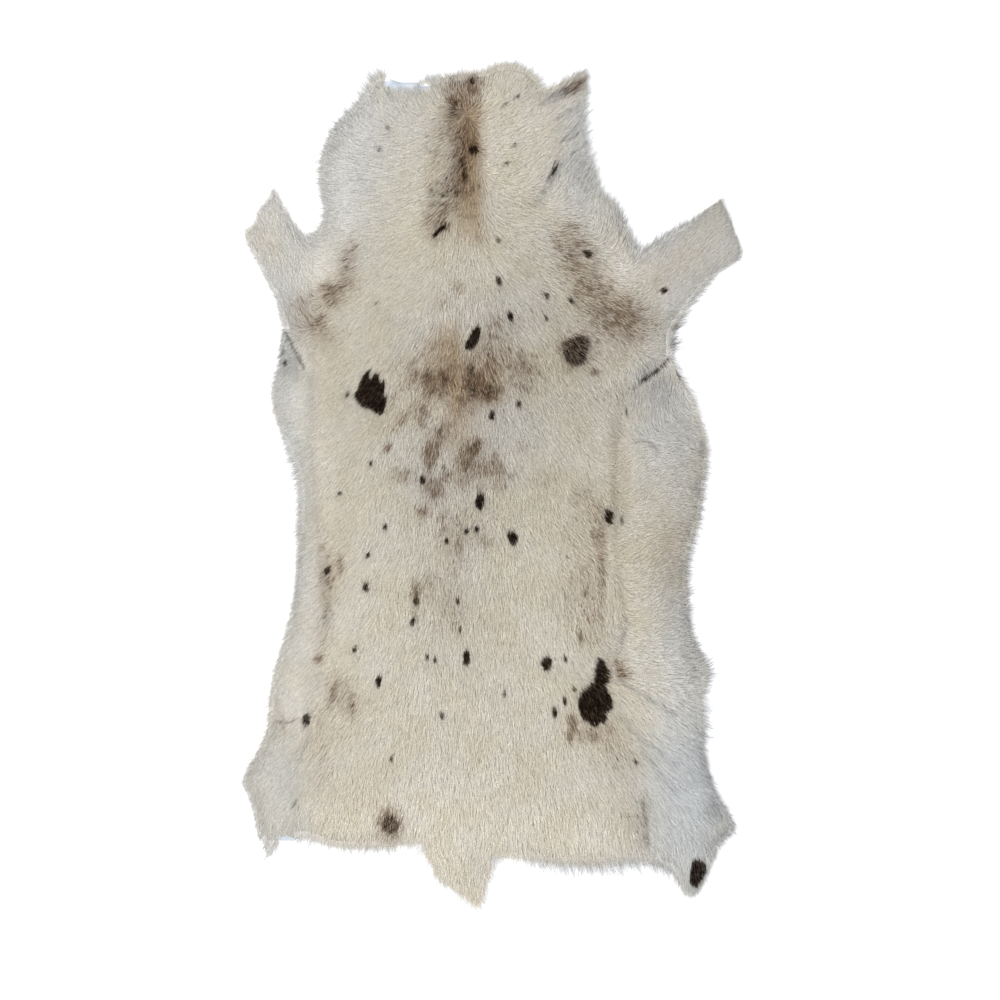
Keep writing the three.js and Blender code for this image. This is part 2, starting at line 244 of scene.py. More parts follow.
# Brown hair in the cream, in the same columns.
BROWN_SHADES = [
    # stripe down the neck
    (8, 1150, 26, 34, 0.55), (-20, 1126, 26, 60, 0.75), (-4, 1150, 50, 30, 0.45), (4, 1118, 34, 50, 0.5),
    (-2, 1078, 36, 44, 0.55), (-14, 1060, 26, 40, 0.45), (-10, 1022, 22, 64, 0.78),
    (-14, 1000, 40, 30, 0.3), (-4, 1096, 34, 40, 0.2), (-40, 1035, 40, 90, 0.28), (-30, 1078, 44, 46, 0.16),
    (-24, 992, 60, 26, 0.4), (-34, 968, 46, 26, 0.3), (8, 985, 26, 60, 0.05), (-48, 944, 38, 38, 0.46),
    (4, 1034, 24, 50, 0.26), (6, 1000, 22, 16, 0.15), (-50, 925, 26, 24, 0.3), (4, 940, 30, 50, 0.05),
    (18, 915, 60, 60, 0.03), (-32, 936, 12, 14, 0.6), (-16, 844, 18, 22, 0.35), (-39, 820, 26, 20, 0.3),
    # right shoulder
    (153, 918, 46, 44, 0.5), (164, 886, 60, 54, 0.46), (190, 844, 54, 52, 0.5, -30),
    (212, 812, 70, 50, 0.54), (222, 794, 50, 34, 0.38), (256, 796, 60, 46, 0.43), (218, 776, 70, 28, 0.22),
    (258, 768, 40, 28, 0.16), (284, 850, 26, 36, 0.14), (138, 825, 120, 90, 0.09),
    (176, 870, 24, 44, 0.25, -20), (204, 757, 100, 60, 0.18), (160, 690, 180, 110, 0.08),
    (236, 826, 80, 40, 0.12, -20), (161, 748, 40, 44, 0.8),
    # left shoulder
    (-180, 884, 26, 60, 0.42, 10), (-185, 847, 42, 36, 0.3), (-211, 838, 36, 28, 0.5),
    (-200, 820, 30, 22, 0.4), (-248, 813, 46, 42, 0.36), (-237, 787, 46, 34, 0.36),
    (-219, 801, 26, 26, 0.26), (-222, 770, 70, 40, 0.2), (-292, 906, 10, 16, 0.3, -30),
    # saddle
    (-48, 706, 50, 44, 0.42), (-36, 703, 20, 30, 0.6), (-61, 714, 16, 24, 0.45), (-40, 750, 50, 56, 0.17),
    (1, 697, 22, 58, 0.85), (21, 698, 42, 44, 0.78), (34, 685, 34, 26, 0.6), (32, 738, 40, 44, 0.5),
    (86, 716, 38, 58, 0.42), (75, 735, 40, 28, 0.25), (42, 768, 54, 54, 0.28), (-88, 714, 34, 30, 0.3, 30),
    (54, 790, 50, 40, 0.18), (-8, 660, 16, 40, 0.15), (-69, 654, 22, 30, 0.55), (-25, 666, 20, 24, 0.25),
    (-50, 686, 30, 24, 0.35), (-19, 690, 20, 90, 0.1), (-39, 625, 20, 34, 0.56), (-52, 604, 22, 34, 0.42),
    (-58, 589, 18, 38, 0.8), (9, 606, 28, 20, 0.85), (-2, 582, 38, 36, 0.68), (34, 570, 40, 26, 0.66),
    (40, 591, 9, 10, 0.7), (48, 548, 18, 26, 0.56), (67, 561, 16, 16, 0.35), (-51, 540, 32, 34, 0.6),
    (-66, 507, 20, 18, 0.55), (-9, 552, 24, 24, 0.55), (-97, 562, 30, 24, 0.45), (-121, 603, 14, 14, 0.6),
    (20, 545, 14, 16, 0.4), (-34, 560, 14, 18, 0.4), (82, 606, 12, 14, 0.35), (-20, 510, 100, 80, 0.1),
    (-5, 675, 260, 260, 0.11), (-112, 648, 40, 44, 0.1, 30), (115, 558, 40, 30, 0.2),
    # brown drifts down the left of the back
    (-60, 770, 10, 60, 0.12, -130), (-72, 742, 12, 70, 0.25, -125), (-92, 700, 14, 70, 0.24, -130),
    (-80, 668, 12, 60, 0.25, -130), (-112, 726, 9, 44, 0.2, -130), (-104, 640, 12, 50, 0.25, -130),
    # loin
    (-6, 477, 90, 50, 0.14), (-36, 495, 16, 70, 0.16), (-14, 458, 12, 28, 0.5), (28, 461, 20, 14, 0.35),
    (-78, 390, 18, 28, 0.6), (-57, 397, 20, 36, 0.35), (-27, 405, 50, 110, 0.2), (-79, 357, 10, 30, 0.4),
    (-30, 345, 60, 60, 0.14),
    # right flank
    (195, 480, 22, 60, 0.36), (219, 570, 10, 150, 0.25), (201, 450, 12, 90, 0.5), (183, 375, 30, 120, 0.32),
    (200, 385, 14, 100, 0.34), (160, 435, 40, 120, 0.2), (146, 360, 26, 60, 0.18), (175, 525, 40, 60, 0.25),
    (256, 435, 20, 130, 0.1),
    # left flank
    (-207, 423, 30, 66, 0.27), (-192, 427, 10, 26, 0.5), (-212, 380, 20, 110, 0.32),
    (-219, 300, 14, 60, 0.2), (-199, 247, 24, 36, 0.35), (-177, 220, 30, 40, 0.26),
    (-192, 225, 40, 50, 0.12), (-222, 150, 40, 110, 0.18), (-204, 232, 10, 36, 0.5, 10),
    (-174, 212, 10, 38, 0.5, -10), (-225, 285, 11, 12, 0.5),
    # right haunch
    (168, 187, 60, 40, 0.15), (156, 174, 14, 20, 0.62), (172, 166, 12, 18, 0.4), (190, 170, 12, 14, 0.3),
    (157, 194, 15, 20, 0.64), (212, 268, 12, 34, 0.35), (182, 172, 26, 24, 0.22),
    (228, 118, 54, 96, 0.1, -30), (236, 262, 30, 20, 0.2), (205, 178, 30, 24, 0.15),
    (225, 150, 50, 66, 0.18, -30), (250, 37, 24, 90, 0.14, -10), (192, 219, 66, 76, 0.14),
    (265, 42, 9, 80, 0.26), (223, 282, 7, 9, 0.8), (226, 271, 7, 10, 0.8), (234, 267, 9, 12, 0.7),
    # left rump and hind leg
    (-118, 38, 33, 42, 0.9), (-280, 191, 34, 5, 0.5, 80),
    # single brown tufts
    (-226, 286, 8, 12, 0.6), (231, 270, 12, 24, 0.6), (168, 321, 7, 18, 0.7), (153, 169, 8, 18, 0.6),
    (190, 717, 17, 11, 0.8), (40, 589, 8, 10, 0.7), (-220, 454, 8, 12, 0.6), (8, 1050, 30, 32, 0.4),
    (16, 921, 12, 14, 0.5), (158, 1146, 20, 46, 0.6, 56),
]

# Ochre hair, and the cooler greyish white of legs, flanks and neck sides, in the same columns.
OCHRE_SHADES = [
    (4, 1080, 30, 110, 0.66), (4, 1000, 36, 110, 0.66), (2, 950, 46, 70, 0.34), (-30, 1100, 50, 60, 0.2),
    (-18, 716, 18, 120, 0.5), (26, 700, 70, 70, 0.45), (-36, 740, 40, 90, 0.35), (-50, 700, 60, 60, 0.25),
    (-20, 640, 24, 80, 0.3), (-30, 760, 30, 50, 0.3), (-5, 640, 40, 60, 0.25), (295, 440, 56, 90, 0.2),
    (230, 470, 26, 330, 0.15), (320, 885, 40, 130, 0.15, 49), (-290, 900, 40, 90, 0.1, -25),
]
COOL_SHADES = [
    (-184, 1020, 120, 240, 0.6), (180, 1035, 80, 240, 0.5), (-280, 890, 110, 260, 0.5),
    (335, 880, 190, 210, 0.45, 40), (300, 640, 110, 180, 0.5), (320, 300, 90, 160, 0.4),
    (333, 75, 120, 280, 0.9), (-272, 525, 64, 480, 0.6), (-290, 75, 90, 240, 0.4),
    (-90, 1120, 180, 110, 0.3), (56, 630, 110, 110, 0.4), (-70, 570, 90, 120, 0.3), (60, 800, 110, 90, 0.3),
    (-60, 780, 90, 60, 0.3),
]
# Painted light and shade over the coat, lighter above zero and dimmer below, partly also the coat's own
# lighter and darker tone, in the same columns.
PAINTED_LIGHT_SHADES = [
    (120, 1010, 200, 260, -0.38), (150, 840, 220, 220, -0.38), (150, 590, 240, 300, -0.3),
    (310, 560, 120, 330, -0.55), (310, 380, 110, 200, -0.3), (-210, 1040, 60, 180, -0.2),
    (-30, 700, 340, 300, -0.2), (270, 80, 180, 180, -0.22), (-225, 440, 80, 340, -0.25),
    (-30, 500, 160, 280, -0.25), (215, 280, 100, 90, -0.4), (-290, 90, 90, 130, -0.3),
    (-10, 330, 150, 220, -0.18), (-290, 930, 70, 120, 0.45), (-237, 877, 44, 90, 0.5),
    (0, 40, 420, 120, 0.15), (335, 690, 40, 110, 0.75, -30), (330, 215, 100, 60, 0.2),
    (252, 890, 60, 50, 0.4), (196, 1000, 60, 210, 0.38, -15), (242, 855, 70, 100, 0.45),
    (-42, 790, 60, 56, 0.25), (200, -12, 300, 40, 0.35), (-150, -8, 220, 34, 0.25),
    (-110, 34, 240, 90, 0.16), (160, 22, 180, 60, 0.16), (-40, -14, 40, 90, 0.22), (366, 56, 50, 70, 0.42),
    (310, 660, 80, 24, 0.2), (4, 950, 26, 50, 0.2), (-120, 24, 200, 40, 0.14), (150, 0, 160, 50, 0.14),
    (290, 18, 110, 90, -0.26), (325, 450, 60, 36, 0.22),
]
# Lit sides of folds: width, strength, then the course as (across, along).
LIT_FOLDS = [
    (4, 0.8, [(307, 732), (294, 717), (276, 703), (258, 691)]),
    (5, 0.5, [(-272, 772), (-258, 752), (-240, 722)]), (10, 0.35, [(241, 660), (245, 610), (249, 560)]),
    (8, 0.25, [(-214, 315), (-219, 250), (-222, 225)]),
]

# Painted grey shade where the coat turns down or parts, in the columns of the dark spots.
PAINTED_GREY_SHADES = [
    (307, 802, 14, 30, 0.3), (353, 600, 14, 40, 0.4), (346, 544, 14, 26, 0.4), (334, 472, 20, 32, 0.3),
    (345, 307, 36, 140, 0.3), (376, 71, 42, 70, 0.4), (180, 1020, 40, 66, 0.3, -20),
    (226, 952, 14, 34, 0.4), (-275, 737, 20, 50, 0.35, -25), (268, 722, 12, 52, 0.25, 52),
    (290, 690, 60, 50, 0.15), (135, 1135, 14, 50, 0.5, 60),
]
# Painted shade in partings, folds and the gaps between locks, partly the grey roots showing there: width,
# strength, then the course as (across, along).
PAINTED_PARTING_SHADES = [
    (4, 0.25, [(302, 740), (295, 729), (272, 712), (250, 694)]),
    (4, 0.13, [(231, 690), (221, 620), (219, 540), (221, 440), (235, 337)]),
    (7, 0.14, [(-234, 757), (-236, 610), (-226, 470), (-213, 343)]),
    (2, 0.5, [(250, 609), (258, 615), (268, 613), (276, 607), (283, 599)]),
    (4, 0.2, [(260, 78), (265, 44), (270, 2)]), (6, 0.15, [(-243, 158), (-255, 135)]),
    (6, 0.28, [(139, 1030), (123, 999), (100, 968)]), (3, 0.4, [(-122, 1153), (-117, 1136)]),
    (3, 0.5, [(158, 1084), (186, 1107)]), (3, 0.4, [(150, 1065), (180, 1086)]),
    (3, 0.5, [(156, 1045), (184, 1068)]), (3, 0.4, [(130, 1096), (168, 1118)]),
    (3, 0.4, [(172, 1030), (190, 1050)]), (3, 0.4, [(216, 945), (226, 985)]),
    (3, 0.5, [(228, 925), (235, 950)]), (3, 0.4, [(140, 1062), (168, 1092)]),
    (3, 0.4, [(196, 1000), (204, 1028)]), (3, 0.4, [(238, 345), (231, 316), (223, 291)]),
    (5, 0.22, [(227, 255), (274, 226), (310, 204)]), (5, 0.22, [(227, 201), (260, 165), (310, 129)]),
    (5, 0.2, [(260, 150), (288, 114), (310, 85)]),
]
# Thin dark lines painted as shadow in folds and partings, partly the dark underfur showing there, in the same
# columns.
PAINTED_FOLD_SHADOWS = [
    (1.5, 0.8, [(301, 738), (295, 728), (284, 719)]), (2.6, 0.9, [(284, 719), (272, 711), (262, 704)]),
    (1.0, 0.4, [(262, 704), (247, 691)]), (1.1, 0.3, [(228, 52), (242, 49), (256, 53)]),
    (1.4, 0.65, [(-276, 778), (-268, 762), (-258, 743), (-246, 722)]),
    (1.2, 0.45, [(130, 1032), (126, 1018), (119, 1006)]),
    (1.6, 0.6, [(-57, 988), (-40, 984), (-24, 989), (-6, 986), (10, 990)]),
    (1.5, 0.5, [(-6, 1056), (-9, 1040), (-5, 1024), (-8, 1008)]), (1.5, 0.5, [(-16, 1072), (-6, 1060)]),
    (1.4, 0.45, [(-52, 972), (-36, 968), (-20, 973)]), (1.4, 0.35, [(-14, 952), (4, 948), (16, 952)]),
    (1.5, 0.35, [(-292, 192), (-275, 189), (-258, 194)]),
]

# Single hairs astray: across, along, heading, length.
STRAY_HAIRS = [
    (237, 934, 78, 26), (186, 1108, 40, 22), (188, 1070, 62, 24), (-215, 1040, -50, 18), (70, 1178, 25, 16),
]
# Places worn down to the skin: across, along, width, height.
BARE_PLACES = [
    (-112, 1151, 26, 28), (-90, 1147, 40, 16), (-62, 1143, 14, 12), (-268, 14, 34, 14),
]

# Coat pieces: name, then the least and most across and along. The first that holds a root takes it.
COAT_REGIONS = [
    ("coat_tail", (-66, 62), (-200, 22)),
    ("coat_left_foreleg", (-420, -222), (782, 1200)),
    ("coat_right_foreleg", (236, 480), (765, 1200)),
    ("coat_crown", (-420, 480), (1010, 1400)),
    ("coat_neck", (-420, 480), (850, 1010)),
    ("coat_left_flank", (-420, -215), (205, 782)),
    ("coat_right_flank", (225, 480), (205, 765)),
    ("coat_withers", (-420, 480), (690, 850)),
    ("coat_back", (-420, 480), (465, 690)),
    ("coat_loin", (-420, 480), (235, 465)),
    ("coat_left_hind_leg", (-420, -215), (-200, 205)),
    ("coat_right_hind_leg", (225, 480), (-200, 205)),
    ("coat_rump", (-420, 480), (-200, 235)),
]

# Paints, in red, green and blue from 0 to 255.
CREAM = (239, 233, 221)
WARM_CREAM = (234, 226, 208)
COOL_WHITE = (230, 232, 233)
OCHRE = (192, 164, 124)
BROWN = (112, 76, 43)
# painted grey shade in partings, folds and along the edge
PAINTED_SHADE_GREY = (116, 118, 127)
# dark hair, also painted as shadow along folds
DARK_HAIR_AND_SHADOW = (30, 20, 14)
SKIN_BLUE = (200, 212, 226)
SKIN_CLOUD = (224, 228, 232)
SUEDE = (214, 201, 180)
SUEDE_STAIN = (184, 163, 134)
SUEDE_NAP = (238, 230, 214)
# How much darker the coat's colours are painted on the skin under the hair, as painted shade between the
# hairs.
UNDERCOAT_PAINTED_SHADE = 0.72

# How single hairs take the coat's colours, in shares: how much brown hair warms the rest, how often and how
# strongly a hair among brown ones is dark, how much of the chance counts for the whole hair, how far a tress
# leans to brown, how weak brown can be, how often and how far a dark hair is paler, how much more and less of
# the painted grey shade single hairs take, and how light and dark hairs, locks and tresses vary. SLIP is in
# millimetres along the hair.
SLIP = 2.2
WARMED = 0.65
FLECK_CHANCE, FLECK_STRENGTH = 0.12, 0.7
WHOLE_HAIR = 0.65
TRESS_BROWN = 0.8
LEAST_BROWN = 0.55
PALER_CHANCE, PALER = 0.2, 0.55
MORE_PAINTED_SHADE, LESS_PAINTED_SHADE = 1.6, 0.4
HAIR_TONE, LOCK_TONE, TRESS_TONE = 0.34, 0.03, 0.05

# The fringe: how far inside the edge its roots begin, in millimetres, the share of roots that bear it, and
# where the neck's, the sides' and the tail's fringes part, as along and across.
FRINGE_BAND = 10
FRINGE_CHANCE = 0.55
NECK_FROM = 850
TAIL_HALF = 100
# Spot hair grows where one of these places round its root, in millimetres, is darker than SPOT_FROM.
SPOT_PROBES = ((0, 0), (5, 0), (-5, 0), (0, 5), (0, -5), (0, 10), (0, 14), (4, 8), (-4, 8))
SPOT_FROM, SPOT_CHANCE = 0.12, 0.85

# The camera looks straight down: the place it centres on, the width it sees and the level of that width, in
# metres, then its lens and sensor in millimetres.
VIEW_CENTRE = (0.01095, -0.0224)
VIEW_WIDTH = 1.5
COAT_LEVEL = 0.016
LENS = 84.0
SENSOR = 36.0
# The studio's light, and the softbox's colour, watts, size and place in metres.
STUDIO_LIGHT, STUDIO_STRENGTH = (0.93, 0.96, 1.0, 1), 0.84
SOFTBOX_COLOUR, SOFTBOX_POWER = (1.0, 0.97, 0.93), 66
SOFTBOX_SIZE = (2.4, 1.8)
SOFTBOX_PLACE = (-2.2, -0.4, 2.4)
# The floor: half its side in metres, how far below the hide it lies in millimetres, its paints and its glow.
FLOOR_HALF = 12
FLOOR_BELOW = 0.5
FLOOR_DIM, FLOOR_BRIGHT = (0.8, 0.8, 0.8, 1), (0.9, 0.9, 0.9, 1)
FLOOR_GLOW = 0.3


def srgb(colour):
    """The linear colour of a paint given as 0 to 255."""
    share = [c / 255 for c in colour]
    linear = [c / 12.92 if c <= 0.04045 else ((c + 0.055) / 1.055) ** 2.4 for c in share]
    return (*linear, 1.0)


def to_frame(across, along):
    """Metres in the frame for a place on the hide."""
    return SPINE_X + across * MM, TAIL_ROOT_Y + along * MM


def on_hide(x, y):
    """The place on the hide for metres in the frame."""
    return (x - SPINE_X) / MM, (y - TAIL_ROOT_Y) / MM


def heading_vector(degrees):
    angle = np.radians(degrees)
    return np.sin(angle), np.cos(angle)


def unit(x, y):
    size = np.maximum(np.hypot(x, y), 1e-6)
    return x / size, y / size


def turned(x, y, angle):
    """A direction turned clockwise, seen from above."""
    return x * np.cos(angle) + y * np.sin(angle), y * np.cos(angle) - x * np.sin(angle)


def smooth(low, high, value):
    t = np.clip((value - low) / (high - low), 0, 1)
    return t * t * (3 - 2 * t)


class PlanMap:
    """Values over the hide's plan, kept on a square grid and read between its points."""

    def __init__(self, step):
        self.step = step * MM
        self.x = np.arange(-MAP_REACH[0] * MM, MAP_REACH[0] * MM, self.step)
        self.y = np.arange(-MAP_REACH[1] * MM, MAP_REACH[1] * MM, self.step)

    def blank(self):
        return np.zeros((len(self.y), len(self.x)))

    def mesh(self):
        return np.meshgrid(self.x, self.y)

    def read(self, values, x, y):
        column = np.clip((x - self.x[0]) / self.step, 0, len(self.x) - 1.001)
        row = np.clip((y - self.y[0]) / self.step, 0, len(self.y) - 1.001)
        i, j = column.astype(int), row.astype(int)
        u, v = column - i, row - j
        near = values[j, i] * (1 - u) + values[j, i + 1] * u
        far = values[j + 1, i] * (1 - u) + values[j + 1, i + 1] * u
        return near * (1 - v) + far * v

    def window(self, across, along, reach):
        """The part of the map within reach of a place on the hide, and the x and y there."""
        x, y = to_frame(across, along)
        reach = reach * MM
        i = np.searchsorted(self.x, (x - reach, x + reach))
        j = np.searchsorted(self.y, (y - reach, y + reach))
        rows, columns = slice(j[0], j[1]), slice(i[0], i[1])
        x, y = np.meshgrid(self.x[columns], self.y[rows])
        return (rows, columns), x, y

    def gathered(self, guides, softness):
        """Each of the guides' values, summed so that near guides weigh most, and the sum of the weights."""
        x, y = self.mesh()
        sums = [self.blank() for _ in guides[0][2:]]
        total = self.blank()
        for across, along, *values in guides:
            gx, gy = to_frame(across, along)
            weight = 1 / ((x - gx) ** 2 + (y - gy) ** 2 + (softness * MM) ** 2) ** 2
            for gained, value in zip(sums, values):
                gained += weight * value
            total += weight
        return (*sums, total)

    def rough(self, blotch, rng):
        """Soft random values from -1 to 1, in blotches of about that many millimetres."""
        columns = int(2 * MAP_REACH[0] / blotch) + 3
        rows = int(2 * MAP_REACH[1] / blotch) + 3
        knots = rng.uniform(-1, 1, (rows, columns))
        column = (self.x - self.x[0]) / (blotch * MM)
        row = (self.y - self.y[0]) / (blotch * MM)
        i, j = column.astype(int), row.astype(int)
        u, v = smooth(0, 1, column - i)[None, :], smooth(0, 1, row - j)[:, None]
        near = knots[j][:, i] * (1 - u) + knots[j][:, i + 1] * u
        far = knots[j + 1][:, i] * (1 - u) + knots[j + 1][:, i + 1] * u
        return near * (1 - v) + far * v

    def rough_mix(self, changes, rng):
        return sum(share * self.rough(blotch, rng) for share, blotch in changes)


def patch_radius(x, y, across, along, width, height, tilt=0):
    """How many half sizes away from the middle of an oval each point lies."""
    cx, cy = to_frame(across, along)
    tx, ty = heading_vector(tilt)
    lengthwise = ((x - cx) * tx + (y - cy) * ty) / (height * MM / 2)
    sideways = ((x - cx) * ty - (y - cy) * tx) / (width * MM / 2)
    return np.hypot(lengthwise, sideways)


def stretch_distance(x, y, ax, ay, dx, dy):
    """Metres from each point to a straight stretch that runs from one place by some way."""
    t = np.clip(((x - ax) * dx + (y - ay) * dy) / (dx * dx + dy * dy), 0, 1)
    return np.hypot(x - ax - t * dx, y - ay - t * dy)


def line_distance(x, y, course):
    """Metres from each point to a course of straight stretches."""
    best = np.full(np.shape(x), 9.0)
    points = [to_frame(*p) for p in course]
    for (ax, ay), (bx, by) in zip(points, points[1:]):
        best = np.minimum(best, stretch_distance(x, y, ax, ay, bx - ax, by - ay))
    return best


def inside_outline(x, y, outline):
    """Millimetres inside a closed outline, below zero outside it."""
    points = [to_frame(*p) for p in outline]
    inside = np.zeros(x.shape, bool)
    for (ax, ay), (bx, by) in zip(points, points[1:] + points[:1]):
        if ay != by:
            inside ^= ((ay > y) != (by > y)) & (x < (bx - ax) * (y - ay) / (by - ay) + ax)
    distance = line_distance(x, y, outline + outline[:1]) / MM
    return np.where(inside, distance, -distance)


def crisp_patches(grid, ragged):
    """Dark hair with a ragged edge: its strength inside the patches and spots, and 0 outside."""
    found = grid.blank()

    def darken(held, depth, strength):
        laid = smooth(-CRISP_EDGE, CRISP_EDGE, depth) * strength
        found[held] = np.maximum(found[held], laid)

    for strength, outline in DARK_PATCHES:
        middle, reach = np.mean(outline, axis=0), np.ptp(outline, axis=0).max() / 2
        held, x, y = grid.window(*middle, reach + PATCH_MARGIN)
        darken(held, inside_outline(x, y, outline) + PATCH_RAGGED * ragged[held], strength)
    for across, along, width, height, strength, *tilt in DARK_SPOTS:
        small = min(width, height) / 2
        held, x, y = grid.window(across, along, max(width, height) + SPOT_MARGIN)
        depth = (1 - patch_radius(x, y, across, along, width, height, *tilt)) * small
        darken(held, depth + ragged[held] * min(SPOT_RAGGED, small * SPOT_RAGGED_SHARE), strength)
    return found


def soft_shades(grid, shades):
    """Soft shading that fades out from the middle of each oval."""
    clear = 1 - grid.blank()
    for across, along, width, height, strength, *tilt in shades:
        held, x, y = grid.window(across, along, max(width, height))
        radius = patch_radius(x, y, across, along, width, height, *tilt)
        clear[held] *= 1 - strength * np.exp(-HALF_FADE * radius**FADE_POWER)
    return 1 - clear


def parting_shades(grid, partings):
    found = grid.blank()
    x, y = grid.mesh()
    for width, strength, course in partings:
        share = line_distance(x, y, course) / (width * MM)
        found = np.maximum(found, strength * np.exp(-(share**2)))
    return found


class Lie:
    """Where the coat lies: how deep inside the edge, how high its top and its skin are, and its heading."""

    def __init__(self, node, rng):
        self.grid = PlanMap(LIE_STEP)
        x, y = self.grid.mesh()
        bm = bmesh.new()
        bm.from_mesh(node.data)
        bmesh.ops.remove_doubles(bm, verts=bm.verts, dist=1e-5)
        self.coat_top = self._heights(bm, x, y)
        self.inside = self._inside(bm, x, y)
        bm.free()
        for across, along, spread, stretch in EDGE_SPREADS:
            gx, gy = to_frame(across, along)
            self.inside += spread * MM * np.exp(-((x - gx) ** 2 + (y - gy) ** 2) / (stretch * MM) ** 2)
        slope_y, slope_x = np.gradient(self.inside, self.grid.step)
        self.out_x, self.out_y = unit(-slope_x, -slope_y)
        guides = [(*place, *heading_vector(heading), hair) for *place, heading, hair in HAIR_LIE]
        heading_x, heading_y, length, total = self.grid.gathered(guides, LIE_SOFTNESS)
        self.length = length / total * MM
        turn = self.grid.rough_mix(LIE_WANDER, rng)
        self.heading_x, self.heading_y = turned(*unit(heading_x, heading_y), turn)
        # how far hair hangs over the edge, and how strongly grey shade is painted along it
        reach, painted_shade, total = self.grid.gathered(EDGE_GUIDES, EDGE_SOFTNESS)
        self.edge_reach, self.edge_painted_shade = reach / total * MM, painted_shade / total
        bare = [patch_radius(x, y, *place) for place in BARE_PLACES]
        self.bare = 1 - smooth(0.85, 1.15, np.min(bare, axis=0))

    def _heights(self, bm, x, y):
        tree = BVHTree.FromBMesh(bm)
        down = Vector((0, 0, -1))
        hits = [tree.ray_cast(Vector((a, b, 1.0)), down)[0] for a, b in zip(x.ravel(), y.ravel())]
        heights = np.array([hit.z if hit else 0.0 for hit in hits])
        return heights.reshape(x.shape)

    def _inside(self, bm, x, y):
        """Metres inside the hide's edge, below zero outside it."""
        flat = {f for f in bm.faces if max(v.co.z for v in f.verts) < 1e-4}
        rim = [e for e in bm.edges if sum(f in flat for f in e.link_faces) == 1]
        distance = np.full(x.shape, 9.0)
        for edge in rim:
            start, end = (v.co.xy for v in edge.verts)
            distance = np.minimum(distance, stretch_distance(x, y, *start, *(end - start)))
        return np.where(self.coat_top > 0, distance, -distance)

    def read(self, values, x, y):
        return self.grid.read(values, x, y)

    def depth(self, x, y):
        return self.read(self.inside, x, y)

    def outward(self, x, y):
        return unit(self.read(self.out_x, x, y), self.read(self.out_y, x, y))

    def heading(self, x, y):
        return unit(self.read(self.heading_x, x, y), self.read(self.heading_y, x, y))

    def top(self, x, y):
        return self.read(self.coat_top, x, y)

    def skin(self, x, y):
        return np.maximum(self.top(x, y) - SKIN_BELOW_COAT * MM, SKIN_RIM * MM)


class Coat:
    """The coat's colours over the plan, as shares of each tint."""

    def __init__(self, lie, rng):
        self.grid = PlanMap(COAT_STEP)
        x, y = self.grid.mesh()
        ragged = self.grid.rough_mix(RAGGED_EDGES, rng)
        mottle = self.grid.rough_mix(MOTTLE, rng)
        # dark patches and spots, with painted shadow along the folds
        self.dark_and_fold_shadow = np.maximum(crisp_patches(self.grid, ragged), parting_shades(self.grid, PAINTED_FOLD_SHADOWS))
        brown = soft_shades(self.grid, BROWN_SHADES)
        brown = np.clip(brown * (1 + 0.35 * mottle), 0, 1)
        # single hairs pick their brown by chance, and strong brown needs less of it
        self.brown = brown * (1 - 0.26 * brown)
        self.ochre = soft_shades(self.grid, OCHRE_SHADES)
        depth = lie.depth(x, y)
        fringe = 0.85 * smooth(2 * MM, -6 * MM, depth)
        self.cool = np.maximum(soft_shades(self.grid, COOL_SHADES), fringe)
        # painted grey shade along the edge, fading inwards
        edge = lie.read(lie.edge_painted_shade, x, y) * np.exp(-np.maximum(depth, 0) / (12 * MM))
        # painted grey shade in partings, folds and where the coat turns down
        painted_shade = np.maximum(parting_shades(self.grid, PAINTED_PARTING_SHADES), soft_shades(self.grid, PAINTED_GREY_SHADES))
        self.painted_shade = np.clip(np.maximum(painted_shade, edge), 0, 1)
        # painted highlights on lit folds, and painted light and shade over the coat
        self.painted_light = parting_shades(self.grid, LIT_FOLDS) + soft_shades(self.grid, PAINTED_LIGHT_SHADES)

    def marks(self, x, y):
        """Shares of dark hair, with the painted fold shadow, and of brown and ochre hair at each place."""
        return [self.grid.read(values, x, y) for values in (self.dark_and_fold_shadow, self.brown, self.ochre)]

    def tints(self, x, y):
        """Shares of cool white and of painted grey shade at each place, and how much light and shade is
        painted there.
        """
        return [self.grid.read(values, x, y) for values in (self.cool, self.painted_shade, self.painted_light)]


class Locks:
    """Hairs draw together into locks: each lock has a middle, a tone, a turn and a height of its own."""

    def __init__(self, spacing, rng):
        self.spacing = spacing * MM
        self.columns = int(2 * MAP_REACH[0] / spacing) + 4
        self.rows = int(2 * MAP_REACH[1] / spacing) + 4
        shape = (self.rows, self.columns)
        self.jitter_x, self.jitter_y = rng.uniform(-0.42, 0.42, (2, *shape))
        self.tone, self.turn, self.rise = rng.uniform(-1, 1, (3, *shape))

    def nearest(self, x, y):
        """The offset to the middle of the nearest lock, and its row and column."""
        column = (x + MAP_REACH[0] * MM) / self.spacing + 1
        row = (y + MAP_REACH[1] * MM) / self.spacing + 1
        i0, j0 = np.rint(column).astype(int), np.rint(row).astype(int)
        best = np.full(x.shape, 99.0)
        offset_x, offset_y = np.zeros(x.shape), np.zeros(x.shape)
        at_i, at_j = i0.copy(), j0.copy()
        for dj in (-1, 0, 1):
            for di in (-1, 0, 1):
                i = np.clip(i0 + di, 0, self.columns - 1)
                j = np.clip(j0 + dj, 0, self.rows - 1)
                ox = i + self.jitter_x[j, i] - column
                oy = j + self.jitter_y[j, i] - row
                distance = ox * ox + oy * oy
                closer = distance < best
                best = np.where(closer, distance, best)
                offset_x, offset_y = np.where(closer, ox, offset_x), np.where(closer, oy, offset_y)
                at_i, at_j = np.where(closer, i, at_i), np.where(closer, j, at_j)
        return offset_x * self.spacing, offset_y * self.spacing, (at_j, at_i)


def new_object(name, data):
    made = bpy.data.objects.new(name, data)
    bpy.context.scene.collection.objects.link(made)
    return made


def new_piece(name, mesh, materials):
    for material in materials:
        mesh.materials.append(material)
    return new_object(name, mesh)


